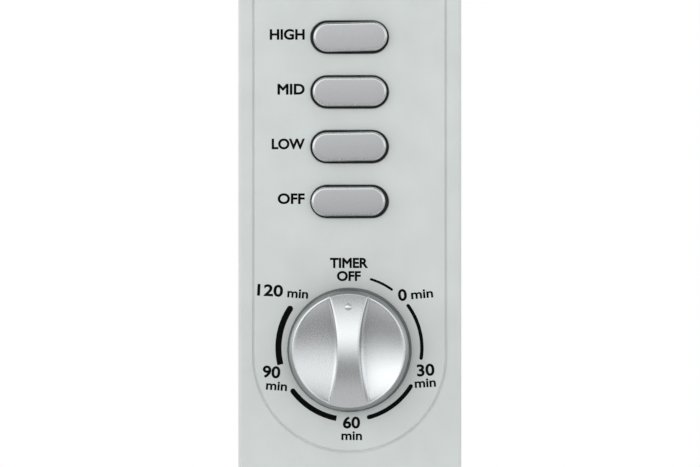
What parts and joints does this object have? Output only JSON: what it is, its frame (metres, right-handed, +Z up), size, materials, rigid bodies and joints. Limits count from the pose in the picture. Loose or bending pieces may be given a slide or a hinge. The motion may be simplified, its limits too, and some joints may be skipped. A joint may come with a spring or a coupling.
{
  "type": "oil filled radiator heater",
  "caption": "Slim oil filled radiator heater on castors, with pressed steel fins, a control cover with stadium push buttons, a run-down timer knob, a carry handle and a cord winder.",
  "frame": {"origin": "on the floor, under the middle of the outline seen from above", "axes": "+Z up, the control panel faces -Y, the fins are stacked along Y, and X is across the heater"},
  "size_m": [0.244, 0.417, 0.601],
  "materials": {
    "cover_plastic": "moulded light grey, fine spark texture",
    "silver_plastic": "silver paint, satin",
    "charcoal_plastic": "moulded, fine texture",
    "wheel_plastic": "moulded, smooth tread",
    "painted_steel": "light grey powder coat",
    "zinc_steel": "zinc plated",
    "brass": "turned",
    "copper_tube": "drawn copper tube",
    "bakelite": "phenolic moulding",
    "white_plastic": "moulded",
    "ceramic": "glazed steatite",
    "lamp_lens": "clear amber",
    "wire_insulation": "silicone sleeved"
  },
  "bodies": {
    "root": {"control_cover": "cover_plastic", "rear_housing": "cover_plastic", "heat_shield": "zinc_steel", "cover_screws": "zinc_steel", "component_screws": "zinc_steel", "carry_handle": "charcoal_plastic", "handle_screws": "zinc_steel", "switch_body": "bakelite", "spring_high": "zinc_steel", "spring_mid": "zinc_steel", "spring_low": "zinc_steel", "spring_off": "zinc_steel", "timer_case": "white_plastic", "thermostat_case": "bakelite", "pilot_lamp": "lamp_lens", "terminal_block": "white_plastic", "tilt_switch_frame": "bakelite", "wiring": "wire_insulation", "cord_gland": "charcoal_plastic", "fin_1": "painted_steel", "fin_2": "painted_steel", "fin_3": "painted_steel", "fin_4": "painted_steel", "fin_5": "painted_steel", "fin_6": "painted_steel", "fin_7": "painted_steel", "header_collars": "painted_steel", "header_caps": "painted_steel", "oil_filler_plug": "zinc_steel", "mounting_studs": "zinc_steel", "stud_spacers": "zinc_steel", "mounting_nuts": "zinc_steel", "element_flange": "brass", "element_upper": "copper_tube", "element_lower": "copper_tube", "element_insulators": "ceramic", "thermal_cutout": "zinc_steel", "foot_front": "painted_steel", "foot_rear": "painted_steel", "u_bolts": "zinc_steel", "wing_nuts": "charcoal_plastic", "cord_winder": "charcoal_plastic"},
    "button_high": {"button_high": "silver_plastic"},
    "button_mid": {"button_mid": "silver_plastic"},
    "button_low": {"button_low": "silver_plastic"},
    "button_off": {"button_off": "silver_plastic"},
    "latch": {"latch_bar": "zinc_steel"},
    "timer": {"timer_knob": "silver_plastic", "timer_shaft": "zinc_steel"},
    "thermostat": {"thermostat_knob": "silver_plastic", "thermostat_shaft": "zinc_steel"},
    "pendulum": {"tilt_pendulum": "zinc_steel"},
    "hood_front_left": {"castor_hood_front_left": "charcoal_plastic"},
    "wheels_front_left": {"castor_wheels_front_left": "wheel_plastic"},
    "hood_front_right": {"castor_hood_front_right": "charcoal_plastic"},
    "wheels_front_right": {"castor_wheels_front_right": "wheel_plastic"},
    "hood_rear_left": {"castor_hood_rear_left": "charcoal_plastic"},
    "wheels_rear_left": {"castor_wheels_rear_left": "wheel_plastic"},
    "hood_rear_right": {"castor_hood_rear_right": "charcoal_plastic"},
    "wheels_rear_right": {"castor_wheels_rear_right": "wheel_plastic"}
  },
  "joints": [
    {"name": "press_high", "type": "slide", "parent": "root", "child": "button_high", "axis": [0, 1, 0], "range_m": [0, 0.004], "stiffness_N_per_m": 500, "springref_m": -0.003, "deforming": ["spring_high"]},
    {"name": "press_mid", "type": "slide", "parent": "root", "child": "button_mid", "axis": [0, 1, 0], "range_m": [0, 0.004], "stiffness_N_per_m": 500, "springref_m": -0.003, "deforming": ["spring_mid"]},
    {"name": "press_low", "type": "slide", "parent": "root", "child": "button_low", "axis": [0, 1, 0], "range_m": [0, 0.004], "stiffness_N_per_m": 500, "springref_m": -0.003, "deforming": ["spring_low"]},
    {"name": "press_off", "type": "slide", "parent": "root", "child": "button_off", "axis": [0, 1, 0], "range_m": [0, 0.004], "stiffness_N_per_m": 500, "springref_m": -0.003, "deforming": ["spring_off"]},
    {"name": "latch_lift", "type": "slide", "parent": "root", "child": "latch", "axis": [0, 0, 1], "range_m": [0, 0.002]},
    {"name": "timer_turn", "type": "hinge", "parent": "root", "child": "timer", "pos_m": [0, -0.1875, 0.258], "axis": [0, 1, 0], "range_deg": [0, 315]},
    {"name": "thermostat_turn", "type": "hinge", "parent": "root", "child": "thermostat", "pos_m": [0, -0.1875, 0.4725], "axis": [0, 1, 0], "range_deg": [0, 270]},
    {"name": "pendulum_swing", "type": "hinge", "parent": "root", "child": "pendulum", "pos_m": [0, -0.1175, 0.244], "axis": [0, 1, 0], "range_deg": [-25, 25]},
    {"name": "swivel_front_left", "type": "hinge", "parent": "root", "child": "hood_front_left", "pos_m": [-0.106, -0.0735, 0.055], "axis": [0, 0, 1], "continuous": true},
    {"name": "swivel_front_right", "type": "hinge", "parent": "root", "child": "hood_front_right", "pos_m": [0.106, -0.0735, 0.055], "axis": [0, 0, 1], "continuous": true},
    {"name": "swivel_rear_left", "type": "hinge", "parent": "root", "child": "hood_rear_left", "pos_m": [-0.106, 0.1465, 0.055], "axis": [0, 0, 1], "continuous": true},
    {"name": "swivel_rear_right", "type": "hinge", "parent": "root", "child": "hood_rear_right", "pos_m": [0.106, 0.1465, 0.055], "axis": [0, 0, 1], "continuous": true},
    {"name": "roll_front_left", "type": "hinge", "parent": "hood_front_left", "child": "wheels_front_left", "pos_m": [-0.106, -0.0605, 0.021], "axis": [1, 0, 0], "continuous": true},
    {"name": "roll_front_right", "type": "hinge", "parent": "hood_front_right", "child": "wheels_front_right", "pos_m": [0.106, -0.0605, 0.021], "axis": [1, 0, 0], "continuous": true},
    {"name": "roll_rear_left", "type": "hinge", "parent": "hood_rear_left", "child": "wheels_rear_left", "pos_m": [-0.106, 0.1595, 0.021], "axis": [1, 0, 0], "continuous": true},
    {"name": "roll_rear_right", "type": "hinge", "parent": "hood_rear_right", "child": "wheels_rear_right", "pos_m": [0.106, 0.1595, 0.021], "axis": [1, 0, 0], "continuous": true}
  ],
  "couplings": [
    {"joint": "latch_lift", "follows": "press_off", "ratio": 0.5}
  ]
}
